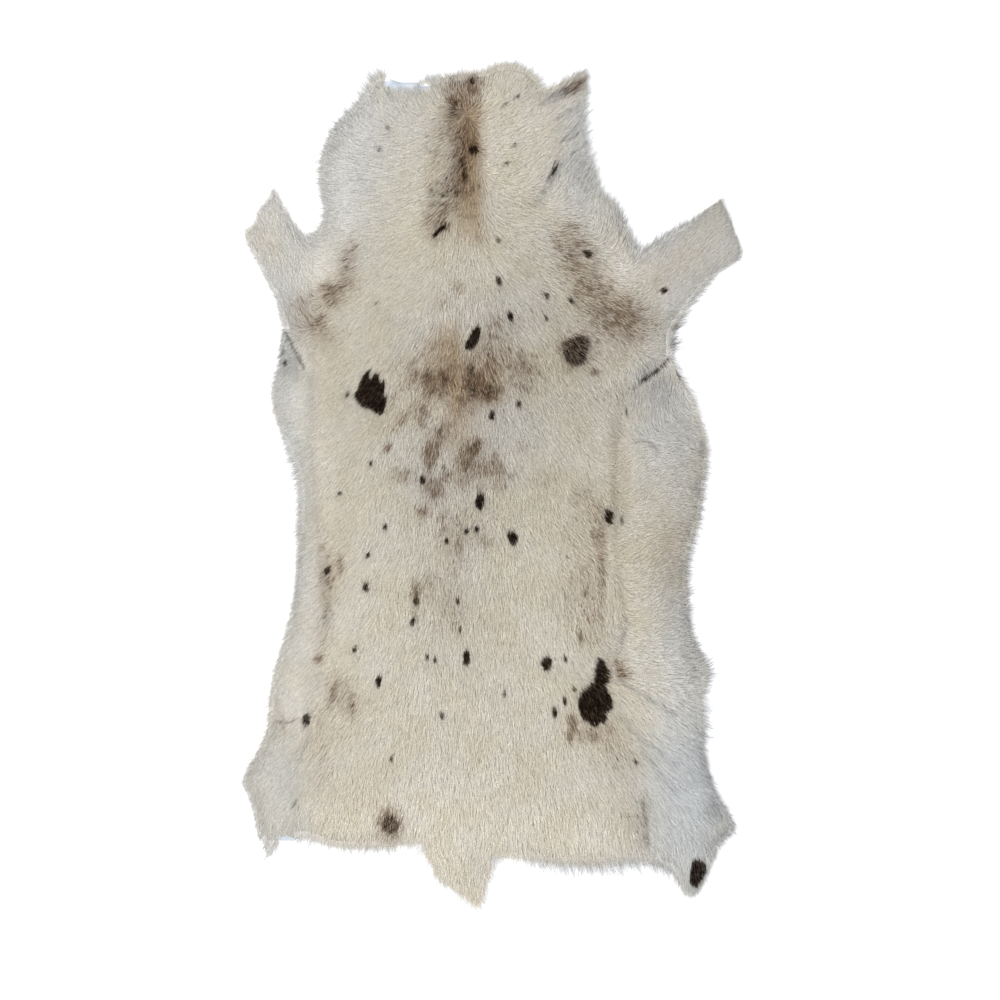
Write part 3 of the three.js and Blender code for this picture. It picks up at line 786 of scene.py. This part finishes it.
def finished_mesh(name, bm):
    mesh = bpy.data.meshes.new(name)
    bm.to_mesh(mesh)
    bm.free()
    return mesh


def plan_places(mesh):
    """The x and y of each vertex."""
    points = np.zeros(len(mesh.vertices) * 3)
    mesh.vertices.foreach_get("co", points)
    return points[0::3], points[1::3]


def add_coat_layers(mesh, marks, tints):
    for name, values in (("coat_marks", marks), ("coat_tints", tints)):
        layer = mesh.color_attributes.new(name, "FLOAT_COLOR", "POINT")
        colours = np.ones((len(mesh.vertices), 4), np.float32)
        for channel, share in enumerate(values):
            colours[:, channel] = share
        layer.data.foreach_set("color", colours.ravel())


def add_plan_map(mesh):
    """A UV map that lays each vertex out by its place in plan."""
    side = 2.1 * MAP_REACH[1] * MM
    place = np.column_stack([0.5 + values / side for values in plan_places(mesh)])
    corners = np.zeros(len(mesh.loops), np.int32)
    mesh.loops.foreach_get("vertex_index", corners)
    layer = mesh.uv_layers.new(name="OFBake")
    layer.data.foreach_set("uv", place[corners].astype(np.float32).ravel())


def skin_outline(lie):
    """A flat grid cut to the skin's edge, as a bmesh."""
    reach_x, reach_y = MAP_REACH[0] * MM, MAP_REACH[1] * MM
    columns, rows = (round(2 * reach / (SKIN_STEP * MM)) for reach in (reach_x, reach_y))
    bm = bmesh.new()
    bmesh.ops.create_grid(bm, x_segments=columns, y_segments=rows, size=1.0)
    bmesh.ops.scale(bm, vec=(reach_x, reach_y, 1), verts=bm.verts)

    def past_edge(x, y):
        bare = lie.read(lie.bare, x, y)
        reach = lie.read(lie.edge_reach, x, y)
        inset = SKIN_INSET * MM * smooth(1 * MM, 8 * MM, reach) + HELD_BACK * reach
        inset = inset * (1 - bare) + SKIN_INSET_BARE * MM * bare
        return lie.depth(x, y) - inset

    centres = np.array([f.calc_center_median() for f in bm.faces])
    kept = past_edge(centres[:, 0], centres[:, 1]) > 0
    outside = [f for f, keep in zip(list(bm.faces), kept) if not keep]
    bmesh.ops.delete(bm, geom=outside, context="FACES")
    rim = [v for v in bm.verts if v.is_boundary]
    # each round pulls the rim closer to the edge
    for _ in range(4):
        places = np.array([v.co for v in rim])
        short = past_edge(places[:, 0], places[:, 1])
        out_x, out_y = lie.outward(places[:, 0], places[:, 1])
        for vert, gap, ox, oy in zip(rim, short, out_x, out_y):
            vert.co.x += gap * ox
            vert.co.y += gap * oy
    bmesh.ops.smooth_vert(bm, verts=rim, factor=0.5, use_axis_x=True, use_axis_y=True)
    return bm


def make_skin(lie, coat, materials):
    """The tanned skin: its hair side follows the coat, and its flesh side lies flat on the floor."""
    bm = skin_outline(lie)
    extruded = bmesh.ops.extrude_face_region(bm, geom=list(bm.faces), use_keep_orig=True)
    lower_verts = {v for f in extruded["geom"] if isinstance(f, bmesh.types.BMFace) for v in f.verts}
    top_verts = [v for v in bm.verts if v not in lower_verts]
    places = np.array([v.co for v in top_verts])
    for vert, height in zip(top_verts, lie.skin(places[:, 0], places[:, 1])):
        vert.co.z = height
    for vert in lower_verts:
        vert.co.z = 0.0
    bmesh.ops.recalc_face_normals(bm, faces=bm.faces)
    for face in bm.faces:
        face.smooth = True
        if any(v in lower_verts for v in face.verts):
            face.material_index = 1
            continue
        middle = face.calc_center_median()
        if lie.read(lie.bare, np.array([middle.x]), np.array([middle.y]))[0] > 0.5:
            face.material_index = 2
    mesh = finished_mesh("hide_skin", bm)
    x, y = plan_places(mesh)
    cool, painted_shade, painted_light = coat.tints(x, y)
    # the skin under the hair takes the coat's colours, with their painted shade and painted light
    add_coat_layers(mesh, coat.marks(x, y), [cool, painted_shade, 0.5 + 0.5 * painted_light])
    area = sum(p.area for p in mesh.polygons if p.normal.z < -0.9)
    return new_piece("hide_skin", mesh, materials), area


def hair_ribbons(stations, widths, rolls):
    """Tapered ribbons along the stations of each hair, which end in a point. Returns points and triangles."""
    count, steps = stations.shape[:2]
    along = np.gradient(stations, axis=1)
    along /= np.linalg.norm(along, axis=2, keepdims=True)
    side = np.stack([-along[..., 1], along[..., 0], np.zeros((count, steps))], axis=2)
    side /= np.maximum(np.linalg.norm(side, axis=2, keepdims=True), 1e-6)
    up = np.cross(along, side)
    spread = side * np.cos(rolls)[:, None, None] + up * np.sin(rolls)[:, None, None]
    half = spread * widths[..., None] / 2
    body = steps - 1
    right, left = stations[:, :body] - half[:, :body], stations[:, :body] + half[:, :body]
    pairs = np.stack([right, left], axis=2).reshape(count, 2 * body, 3)
    points = np.concatenate([pairs, stations[:, body:]], axis=1)
    corners = []
    for k in range(body - 1):
        r, l = 2 * k, 2 * k + 1
        corners += [[r, r + 2, l + 2], [r, l + 2, l]]
    corners += [[2 * body - 2, 2 * body, 2 * body - 1]]
    first = np.arange(count)[:, None, None] * (2 * body + 1)
    return points.reshape(-1, 3), (first + np.array(corners)[None]).reshape(-1, 3)


def per_point(values, steps):
    """One value for each station of a hair, repeated for the ribbon's points."""
    body = np.repeat(values[:, : steps - 1], 2, axis=1)
    return np.concatenate([body, values[:, steps - 1 :]], axis=1).ravel()


def triangle_mesh(name, points, triangles):
    mesh = bpy.data.meshes.new(name)
    mesh.vertices.add(len(points))
    mesh.loops.add(3 * len(triangles))
    mesh.polygons.add(len(triangles))
    mesh.vertices.foreach_set("co", points.astype(np.float32).ravel())
    mesh.loops.foreach_set("vertex_index", triangles.astype(np.int32).ravel())
    mesh.polygons.foreach_set("loop_start", np.arange(0, 3 * len(triangles), 3, dtype=np.int32))
    mesh.update(calc_edges=True)
    mesh.polygons.foreach_set("use_smooth", np.ones(len(triangles), bool))
    return mesh


class Groomer:
    """Lays hairs on the hide, in locks and tresses that follow its lie."""

    def __init__(self, lie, coat, rng):
        self.lie = lie
        self.coat = coat
        self.rng = rng
        self.locks = Locks(LOCK_SPACING, rng)
        self.tresses = Locks(TRESS_SPACING, rng)

    def roots(self, spacing):
        """Evenly scattered roots over the whole hide, but for its bare places."""
        step = spacing * MM
        x = np.arange(-MAP_REACH[0] * MM, MAP_REACH[0] * MM, step)
        y = np.arange(-MAP_REACH[1] * MM, MAP_REACH[1] * MM, step)
        x, y = np.meshgrid(x, y)
        x = (x + self.rng.uniform(-0.5, 0.5, x.shape) * step).ravel()
        y = (y + self.rng.uniform(-0.5, 0.5, y.shape) * step).ravel()
        inside = self.lie.depth(x, y) > 1.5 * MM
        x, y = x[inside], y[inside]
        haired = self.lie.read(self.lie.bare, x, y) < 0.35 + 0.3 * self.rng.random(len(x))
        return x[haired], y[haired]

    def trimmed(self, x, y, hx, hy, length, overhang):
        """Lengths short enough that each tip hangs only a little over the edge."""
        depth, tip_depth = self.lie.depth(x, y), self.lie.depth(x + hx * length, y + hy * length)
        reach = self.lie.read(self.lie.edge_reach, x, y)
        allowed = reach * (overhang * self.rng.exponential(1.0, len(x)) - HELD_BACK)
        share = (depth + allowed) / np.maximum(depth - tip_depth, 1e-6)
        return np.where(tip_depth < -allowed, length * np.clip(share, 0.15, 1), length)

    def course(self, x, y, hx, hy, length, close, shares, straight):
        """Each hair's stations in plan. A hair follows the lie under it, unless it is to lie straight."""
        stations = np.zeros((len(x), len(shares), 3))
        stations[:, 0, 0], stations[:, 0, 1] = x, y
        for k, stretch in enumerate(np.diff(shares), 1):
            fx, fy = (hx, hy) if straight else self.lie.heading(x, y)
            other = 1 - OWN_HEADING
            dx, dy = unit(OWN_HEADING * hx + other * fx, OWN_HEADING * hy + other * fy)
            x = x + dx * length * stretch + hy * close * stretch
            y = y + dy * length * stretch - hx * close * stretch
            stations[:, k, 0], stations[:, k, 1] = x, y
        return stations

    def lift_up(self, stations, shares, low, lift):
        """Raises the stations: roots in the skin, tips that low under the coat's top or past the edge."""
        lie = self.lie
        rim = lie.top(stations[:, 0, 0], stations[:, 0, 1])
        for k, share in enumerate(shares):
            x, y = stations[:, k, 0], stations[:, k, 1]
            skin = lie.skin(x, y)
            risen = math.sin(math.pi / 2 * min(1.0, share * 1.15))
            # past the edge the hair droops towards the floor
            over = np.clip(-lie.depth(x, y) / (DROOP_REACH * MM), 0, 1)
            carried = np.where(over > 0, rim * (1 - 0.75 * over), lie.top(x, y))
            height = (1 - risen) * (skin - ROOT_SUNK * MM) + risen * (carried - low) * lift
            least = np.where(over > 0, LEAST_HEIGHT_OVER * MM, skin + (0.2 * MM if k else -ROOT_SUNK * MM))
            stations[:, k, 2] = np.maximum(height, np.maximum(least, LEAST_HEIGHT * MM))

    def lay(self, name, x, y, steps, material, length, heading=None, crisp=False, lift=1.0, width=1.0,
            overhang=OVERHANG, gather=GATHER):
        """Hairs from these roots as one piece."""
        rng, lie, count = self.rng, self.lie, len(x)
        hx, hy = lie.heading(x, y) if heading is None else heading
        length = length * rng.uniform(*LENGTH_RANGE, count)
        length = self.trimmed(x, y, hx, hy, length, overhang)
        lock_x, lock_y, lock = self.locks.nearest(x, y)
        tress_x, tress_y, tress = self.tresses.nearest(x, y)
        turn = rng.normal(0, HAIR_TURN, count) + LOCK_TURN * self.locks.turn[lock]
        turn = np.radians(turn + TRESS_TURN * self.tresses.turn[tress])
        hx, hy = turned(hx, hy, turn)
        # hairs close in on the middle line of their lock and, less, of their tress
        close = gather[0] * (lock_x * hy - lock_y * hx) + gather[1] * (tress_x * hy - tress_y * hx)
        shares = np.linspace(0, 1, steps) ** 0.9
        stations = self.course(x, y, hx, hy, length, close, shares, heading is not None)
        low = rng.uniform(0, TIP_SUNK, count) + LOCK_RISE * self.locks.rise[lock]
        low = (low + LOCK_RISE * self.tresses.rise[tress]) * MM
        self.lift_up(stations, shares, low, lift)
        tip_depth = lie.depth(stations[:, -1, 0], stations[:, -1, 1]) / MM
        finer = np.interp(tip_depth, *FINER_AT_EDGE) if width > 0.6 else 1.0
        size = rng.uniform(0.75, 1.25, count) * np.clip(length / (12 * MM), 0.7, 1) * finer
        widths = HAIR_WIDTH * MM * width * size[:, None] * np.interp(shares, *TAPER)[None, :]
        points, triangles = hair_ribbons(stations, widths, np.radians(rng.uniform(-32, 32, count)))
        mesh = triangle_mesh(name, points, triangles)
        self.colour(mesh, stations, (hx, hy), lock, tress, crisp, length)
        return new_piece(name, mesh, [material])

    def colour(self, mesh, stations, heading, lock, tress, crisp, length):
        rng, (count, steps) = self.rng, stations.shape[:2]
        slip = rng.normal(0, SLIP, count) * MM
        if crisp:
            # a short hair keeps one colour from root to tip
            sx = np.repeat((stations[:, 0, 0] + heading[0] * length * 0.6)[:, None], steps, axis=1)
            sy = np.repeat((stations[:, 0, 1] + heading[1] * length * 0.6)[:, None], steps, axis=1)
        else:
            sx = stations[..., 0] + (heading[0] * slip)[:, None]
            sy = stations[..., 1] + (heading[1] * slip)[:, None]
        dark_and_fold_shadow, brown, ochre = self.coat.marks(sx, sy)
        cool, painted_shade, painted_light = self.coat.tints(sx, sy)
        # round brown hair the rest is warmer, and each hair takes by chance brown, dark with its painted fold
        # shadow, and painted grey shade
        ochre = 1 - (1 - ochre) * (1 - WARMED * brown)
        fleck = (rng.random(count) < FLECK_CHANCE)[:, None] * FLECK_STRENGTH * smooth(0.3, 0.7, brown)
        pick = rng.random(count)[:, None]
        broken = WHOLE_HAIR * pick + (1 - WHOLE_HAIR) * rng.random((count, steps))
        brown = brown + brown * (1 - brown) * TRESS_BROWN * self.tresses.tone[tress][:, None]
        strength = rng.uniform(LEAST_BROWN, 1.0, count)[:, None]
        brown = np.maximum(smooth(-0.12, 0.12, brown - broken) * strength, 0.85 * dark_and_fold_shadow)
        paler = np.where(rng.random(count) < PALER_CHANCE, PALER, 1.0)[:, None]
        dark_and_fold_shadow = np.maximum(smooth(-0.1, 0.1, dark_and_fold_shadow - 0.05 - 0.85 * pick) * paler, fleck)
        painted_shade = painted_shade * np.where(rng.random(count) < 0.5, MORE_PAINTED_SHADE, LESS_PAINTED_SHADE)[:, None]
        tone = 0.5 + HAIR_TONE * rng.uniform(-1, 1, count) + LOCK_TONE * self.locks.tone[lock]
        # each hair's own tone takes the painted light and shade as well
        tone = (tone + TRESS_TONE * self.tresses.tone[tress])[:, None] + 0.5 * painted_light
        marks = [per_point(values, steps) for values in (dark_and_fold_shadow, brown, ochre)]
        tints = [per_point(values, steps) for values in (cool, painted_shade, tone)]
        add_coat_layers(mesh, marks, tints)
        add_plan_map(mesh)


def groom_coat(groomer, material):
    """The long coat, one piece for each part of the body."""
    x, y = groomer.roots(ROOT_SPACING)
    length = groomer.lie.read(groomer.lie.length, x, y) * COAT_SHARE
    length = np.maximum(length, LEAST_HAIR * MM)
    across, along = on_hide(x, y)
    left = np.ones(len(x), bool)
    pieces = []
    for name, (across_low, across_high), (along_low, along_high) in COAT_REGIONS:
        held = left & (across > across_low) & (across < across_high)
        held &= (along > along_low) & (along < along_high)
        left &= ~held
        if held.any():
            pieces.append(groomer.lay(name, x[held], y[held], 3, material, length[held]))
    return pieces


def groom_edge(groomer, material):
    """Longer hairs that hang over the edge all round, and the stray hairs."""
    lie, rng = groomer.lie, groomer.rng
    x, y = groomer.roots(EDGE_ROOT_SPACING)
    near = (lie.depth(x, y) < FRINGE_BAND * MM) & (rng.random(len(x)) < FRINGE_CHANCE)
    x, y = x[near], y[near]
    out_x, out_y = lie.outward(x, y)
    hx, hy = lie.heading(x, y)
    outward = hx * out_x + hy * out_y
    pull = np.clip(0.75 - outward, 0.05, 1.6)
    hx, hy = unit(hx + pull * out_x, hy + pull * out_y)
    reach = lie.read(lie.edge_reach, x, y)
    length = np.clip(lie.read(lie.length, x, y) * 0.9, EDGE_HAIR[0] * MM, EDGE_HAIR[1] * MM)
    length = np.maximum(length, 1.2 * reach + 5 * MM)
    across, along = on_hide(x, y)
    pieces = []
    for name, held in (
        ("edge_hair_neck", along > NECK_FROM),
        ("edge_hair_left", (along <= NECK_FROM) & (across < -TAIL_HALF)),
        ("edge_hair_right", (along <= NECK_FROM) & (across > TAIL_HALF)),
        ("edge_hair_tail", (along <= NECK_FROM) & (np.abs(across) <= TAIL_HALF)),
    ):
        lean = (hx[held], hy[held])
        pieces.append(groomer.lay(name, x[held], y[held], 4, material, length[held], lean, width=0.5,
                                  overhang=1.5, gather=(0.25, 0.35)))
    across, along, heading, length = np.array(STRAY_HAIRS, float).T
    x, y = to_frame(across, along)
    pieces.append(groomer.lay("stray_hair", x, y, 5, material, length * MM, heading_vector(heading),
                              width=0.5, overhang=99, gather=(0, 0)))
    return pieces


def groom_spots(groomer, material):
    """Short, close hairs over the dark spots and round them, which keep their edges clear."""
    coat, rng = groomer.coat, groomer.rng
    x, y = groomer.roots(SPOT_ROOT_SPACING)
    around = [coat.grid.read(coat.dark_and_fold_shadow, x + dx * MM, y + dy * MM) for dx, dy in SPOT_PROBES]
    near = (np.max(around, axis=0) > SPOT_FROM) & (rng.random(len(x)) < SPOT_CHANCE)
    x, y = x[near], y[near]
    length = np.full(len(x), SPOT_HAIR * MM)
    return [groomer.lay("spot_hair", x, y, 3, material, length, crisp=True, lift=1.03, width=0.8)]


def link(tree, source, target):
    tree.links.new(source, target)


def node(tree, kind, **settings):
    made = tree.nodes.new(kind)
    for name, value in settings.items():
        setattr(made, name, value)
    return made


def plug(tree, socket, value):
    """Puts a value, a colour or another node's output on a socket."""
    if isinstance(value, bpy.types.NodeSocket):
        link(tree, value, socket)
    else:
        socket.default_value = value


def mixed(tree, share, first, second):
    made = node(tree, "ShaderNodeMix", data_type="RGBA")
    for socket, value in ((0, share), (6, first), (7, second)):
        plug(tree, made.inputs[socket], value)
    return made.outputs[2]


def multiplied(tree, first, second):
    made = node(tree, "ShaderNodeMath", operation="MULTIPLY")
    link(tree, first, made.inputs[0])
    link(tree, second, made.inputs[1])
    return made.outputs[0]


def noise(tree, place, scale, detail=2.0, roughness=0.5):
    made = node(tree, "ShaderNodeTexNoise")
    plug(tree, made.inputs["Vector"], place)
    for name, number in (("Scale", scale), ("Detail", detail), ("Roughness", roughness)):
        made.inputs[name].default_value = number
    return made.outputs["Fac"]


def ranged(tree, value, low, high, to_low, to_high):
    made = node(tree, "ShaderNodeMapRange")
    plug(tree, made.inputs["Value"], value)
    for name, number in (("From Min", low), ("From Max", high), ("To Min", to_low), ("To Max", to_high)):
        made.inputs[name].default_value = number
    return made.outputs["Result"]


def object_place(tree):
    return node(tree, "ShaderNodeTexCoord").outputs["Object"]


def coat_group():
    """Hair colour from the shares laid on a piece, with its painted shade and light, soft blotches and fine
    grain.
    """
    tree = bpy.data.node_groups.new("coat colour", "ShaderNodeTree")
    for name, way, kind in (
        ("Marks", "INPUT", "Color"), ("Tints", "INPUT", "Color"), ("Shade", "INPUT", "Float"),
        ("Color", "OUTPUT", "Color"), ("Height", "OUTPUT", "Float"),
    ):
        tree.interface.new_socket(name, in_out=way, socket_type="NodeSocket" + kind)
    given = node(tree, "NodeGroupInput").outputs
    result = node(tree, "NodeGroupOutput").inputs
    place = object_place(tree)
    marks, tints = node(tree, "ShaderNodeSeparateColor"), node(tree, "ShaderNodeSeparateColor")
    link(tree, given["Marks"], marks.inputs[0])
    link(tree, given["Tints"], tints.inputs[0])
    blotches = ranged(tree, noise(tree, place, 17.0, 3.0), 0.35, 0.65, 0.0, 1.0)
    grain = noise(tree, place, 600.0, 1.0)
    base = mixed(tree, blotches, srgb(CREAM), srgb(WARM_CREAM))
    # the grey tint is painted shade, and the dark mark holds painted fold shadow too
    for shares, channel, paint in (
        (tints, 0, COOL_WHITE), (marks, 2, OCHRE), (marks, 1, BROWN), (tints, 1, PAINTED_SHADE_GREY),
        (marks, 0, DARK_HAIR_AND_SHADOW),
    ):
        base = mixed(tree, shares.outputs[channel], base, srgb(paint))
    # the third tint holds each hair's tone with its painted light and shade
    toned = ranged(tree, tints.outputs[2], -0.5, 1.5, 0.62, 1.26)
    grained = ranged(tree, grain, 0.3, 0.7, 0.74, 1.26)
    # the Shade input darkens the skin under the hair as painted shade between the hairs
    shaded = multiplied(tree, multiplied(tree, toned, grained), given["Shade"])
    scaled = node(tree, "ShaderNodeVectorMath", operation="SCALE")
    link(tree, base, scaled.inputs[0])
    link(tree, shaded, scaled.inputs["Scale"])
    link(tree, scaled.outputs[0], result["Color"])
    link(tree, grain, result["Height"])
    return tree


def new_material(name, roughness):
    material = bpy.data.materials.new(name)
    material.use_nodes = True
    shader = material.node_tree.nodes["Principled BSDF"]
    shader.inputs["Roughness"].default_value = roughness
    return material, material.node_tree, shader


def bump(tree, shader, height, strength, distance):
    made = node(tree, "ShaderNodeBump")
    made.inputs["Strength"].default_value = strength
    made.inputs["Distance"].default_value = distance * MM
    link(tree, height, made.inputs["Height"])
    link(tree, made.outputs[0], shader.inputs["Normal"])


def coat_material(name, group, shade, roughness, bumped):
    material, tree, shader = new_material(name, roughness)
    shader.inputs["Specular IOR Level"].default_value = 0.05
    colours = node(tree, "ShaderNodeGroup", node_tree=group)
    for socket, layer in (("Marks", "coat_marks"), ("Tints", "coat_tints")):
        read = node(tree, "ShaderNodeAttribute", attribute_name=layer)
        link(tree, read.outputs["Color"], colours.inputs[socket])
    colours.inputs["Shade"].default_value = shade
    link(tree, colours.outputs["Color"], shader.inputs["Base Color"])
    if bumped:
        bump(tree, shader, colours.outputs["Height"], 0.6, 1.5)
    return material


def flesh_side_material():
    """Suede of the flesh side: pale, brushed, with soft stains and fine pores."""
    material, tree, shader = new_material("flesh_side_suede", 0.92)
    place = object_place(tree)
    stains = ranged(tree, noise(tree, place, 7.0, 6.0, 0.6), 0.42, 0.72, 0.0, 1.0)
    nap = noise(tree, place, 260.0, 4.0, 0.65)
    base = mixed(tree, stains, srgb(SUEDE), srgb(SUEDE_STAIN))
    base = mixed(tree, ranged(tree, nap, 0.3, 0.7, 0.0, 0.35), base, srgb(SUEDE_NAP))
    link(tree, base, shader.inputs["Base Color"])
    bump(tree, shader, nap, 0.5, 0.8)
    return material


def bare_skin_material():
    """Smooth, bluish skin where the hair is worn off."""
    material, tree, shader = new_material("bare_skin", 0.55)
    place = object_place(tree)
    clouds = ranged(tree, noise(tree, place, 60.0, 4.0), 0.35, 0.65, 0.0, 1.0)
    link(tree, mixed(tree, clouds, srgb(SKIN_BLUE), srgb(SKIN_CLOUD)), shader.inputs["Base Color"])
    bump(tree, shader, noise(tree, place, 500.0, 3.0), 0.3, 0.5)
    return material


def floor_material():
    """A bright studio sweep with a barely visible grain."""
    material, tree, shader = new_material("studio_floor", 0.9)
    grain = ranged(tree, noise(tree, object_place(tree), 30.0), 0.0, 1.0, 0.97, 1.0)
    link(tree, mixed(tree, grain, FLOOR_DIM, FLOOR_BRIGHT), shader.inputs["Base Color"])
    shader.inputs["Emission Color"].default_value = (1, 1, 1, 1)
    shader.inputs["Emission Strength"].default_value = FLOOR_GLOW
    return material


def make_floor():
    bm = bmesh.new()
    bmesh.ops.create_grid(bm, x_segments=4, y_segments=4, size=FLOOR_HALF)
    bmesh.ops.translate(bm, vec=(0, 0, -FLOOR_BELOW * MM), verts=bm.verts)
    new_piece("studio_floor", finished_mesh("studio_floor", bm), [floor_material()])


def make_camera():
    """Straight down over the hide, with the neck to the top."""
    data = bpy.data.cameras.new("camera")
    data.lens = LENS
    data.sensor_width = SENSOR
    camera = new_object("camera", data)
    camera.location = (*VIEW_CENTRE, COAT_LEVEL + VIEW_WIDTH * LENS / SENSOR)
    bpy.context.scene.camera = camera


def make_lights():
    world = bpy.data.worlds.new("studio")
    world.use_nodes = True
    background = world.node_tree.nodes["Background"]
    background.inputs["Color"].default_value = STUDIO_LIGHT
    background.inputs["Strength"].default_value = STUDIO_STRENGTH
    bpy.context.scene.world = world
    data = bpy.data.lights.new("softbox", "AREA")
    data.shape = "RECTANGLE"
    data.size, data.size_y = SOFTBOX_SIZE
    data.energy = SOFTBOX_POWER
    data.color = SOFTBOX_COLOUR
    softbox = new_object("softbox", data)
    softbox.location = SOFTBOX_PLACE
    softbox.rotation_euler = (-softbox.location).to_track_quat("-Z", "Y").to_euler()


def main():
    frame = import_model()
    bpy.context.scene.view_settings.view_transform = "Standard"
    make_camera()
    make_lights()
    make_floor()
    rng = np.random.default_rng(SEED)
    lie = Lie(frame["nodes"]["hide"], rng)
    coat = Coat(lie, rng)
    group = coat_group()
    hair = coat_material("hair", group, 1.0, 0.7, False)
    # the skin under the hair: the coat's colours painted darker, as shade between the hairs
    painted_shade_undercoat = coat_material("painted_shade_undercoat", group, UNDERCOAT_PAINTED_SHADE, 0.9, True)
    skin, area = make_skin(lie, coat, [painted_shade_undercoat, flesh_side_material(), bare_skin_material()])
    groomer = Groomer(lie, coat, rng)
    pieces = groom_coat(groomer, hair) + groom_edge(groomer, hair) + groom_spots(groomer, hair)
    for piece in [skin, *pieces]:
        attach(piece, "root")
    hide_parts("hide")


main()
